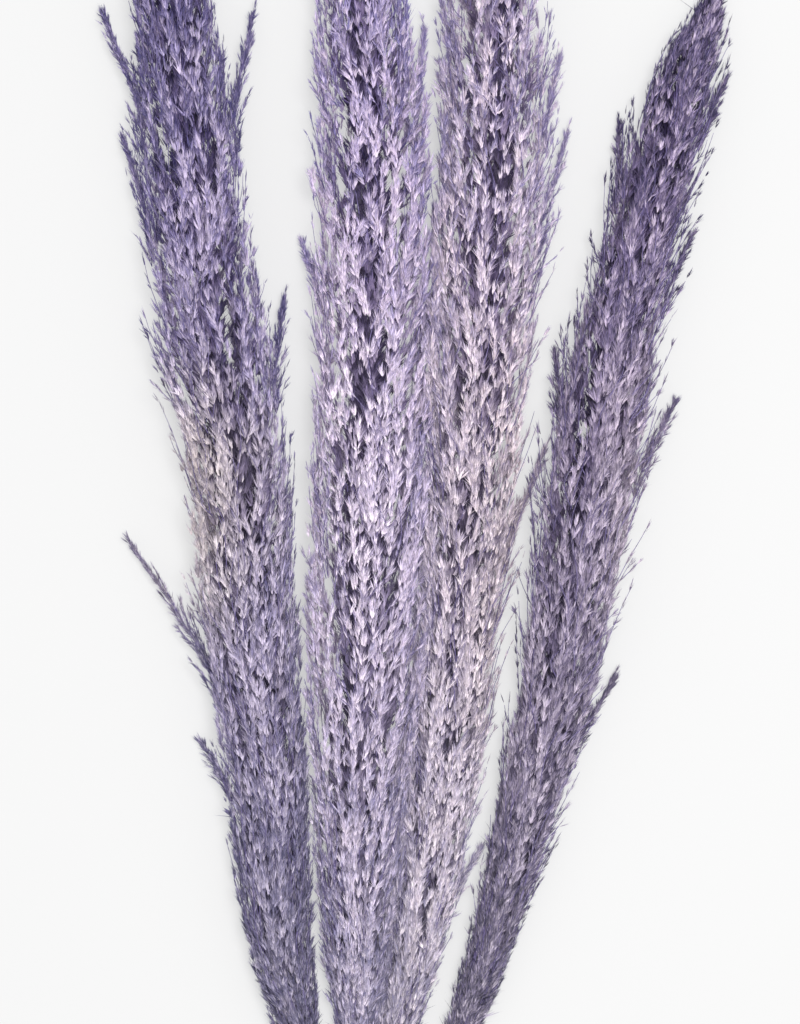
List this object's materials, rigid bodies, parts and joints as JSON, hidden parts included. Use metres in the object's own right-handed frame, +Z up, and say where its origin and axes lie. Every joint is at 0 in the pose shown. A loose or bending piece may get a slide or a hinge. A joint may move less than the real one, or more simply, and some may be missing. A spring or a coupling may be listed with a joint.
{
  "type": "bundle of pampas grass",
  "caption": "Bundle of tall dried and dyed pampas grass stalks laid flat, long feathery plumes fanned out side by side, bare stems crossed at the cut ends.",
  "frame": {"origin": "middle of the bundle's footprint, on the surface it lies on", "axes": "+Y runs from the cut stem ends to the plume tips, +Z is up, away from the surface, +X is across the fan of plumes"},
  "size_m": [0.4104, 1.2138, 0.0592],
  "materials": {
    "left_plume": "matte, silky dyed grass spikelets, greyed lavender",
    "centre_plume": "matte, silky dyed grass spikelets, lavender",
    "centre_right_plume": "matte, silky dyed grass spikelets, lavender with undyed pinkish straw",
    "right_plume": "matte, silky dyed grass spikelets, deep violet grey",
    "stem": "satin dried grass culm, straw with a faint violet stain"
  },
  "bodies": {
    "root": {"centre_branch_upper_left": "centre_plume", "centre_branch_upper_right": "centre_plume", "centre_plume": "centre_plume", "centre_right_branch_lower_right": "centre_right_plume", "centre_right_branch_middle_right": "centre_right_plume", "centre_right_branch_tip_right": "centre_right_plume", "centre_right_branch_upper_right": "centre_right_plume", "centre_right_plume": "centre_right_plume", "centre_right_stem": "stem", "centre_stem": "stem", "left_branch_lower_left": "left_plume", "left_branch_middle_left": "left_plume", "left_branch_middle_right": "left_plume", "left_branch_tip_left": "left_plume", "left_branch_tip_right": "left_plume", "left_branch_upper_left": "left_plume", "left_plume": "left_plume", "left_stem": "stem", "right_branch_lower_right": "right_plume", "right_branch_middle_right": "right_plume", "right_branch_tip_left": "right_plume", "right_branch_tip_right": "right_plume", "right_branch_upper_left": "right_plume", "right_branch_upper_right": "right_plume", "right_plume": "right_plume", "right_stem": "stem"}
  },
  "joints": []
}
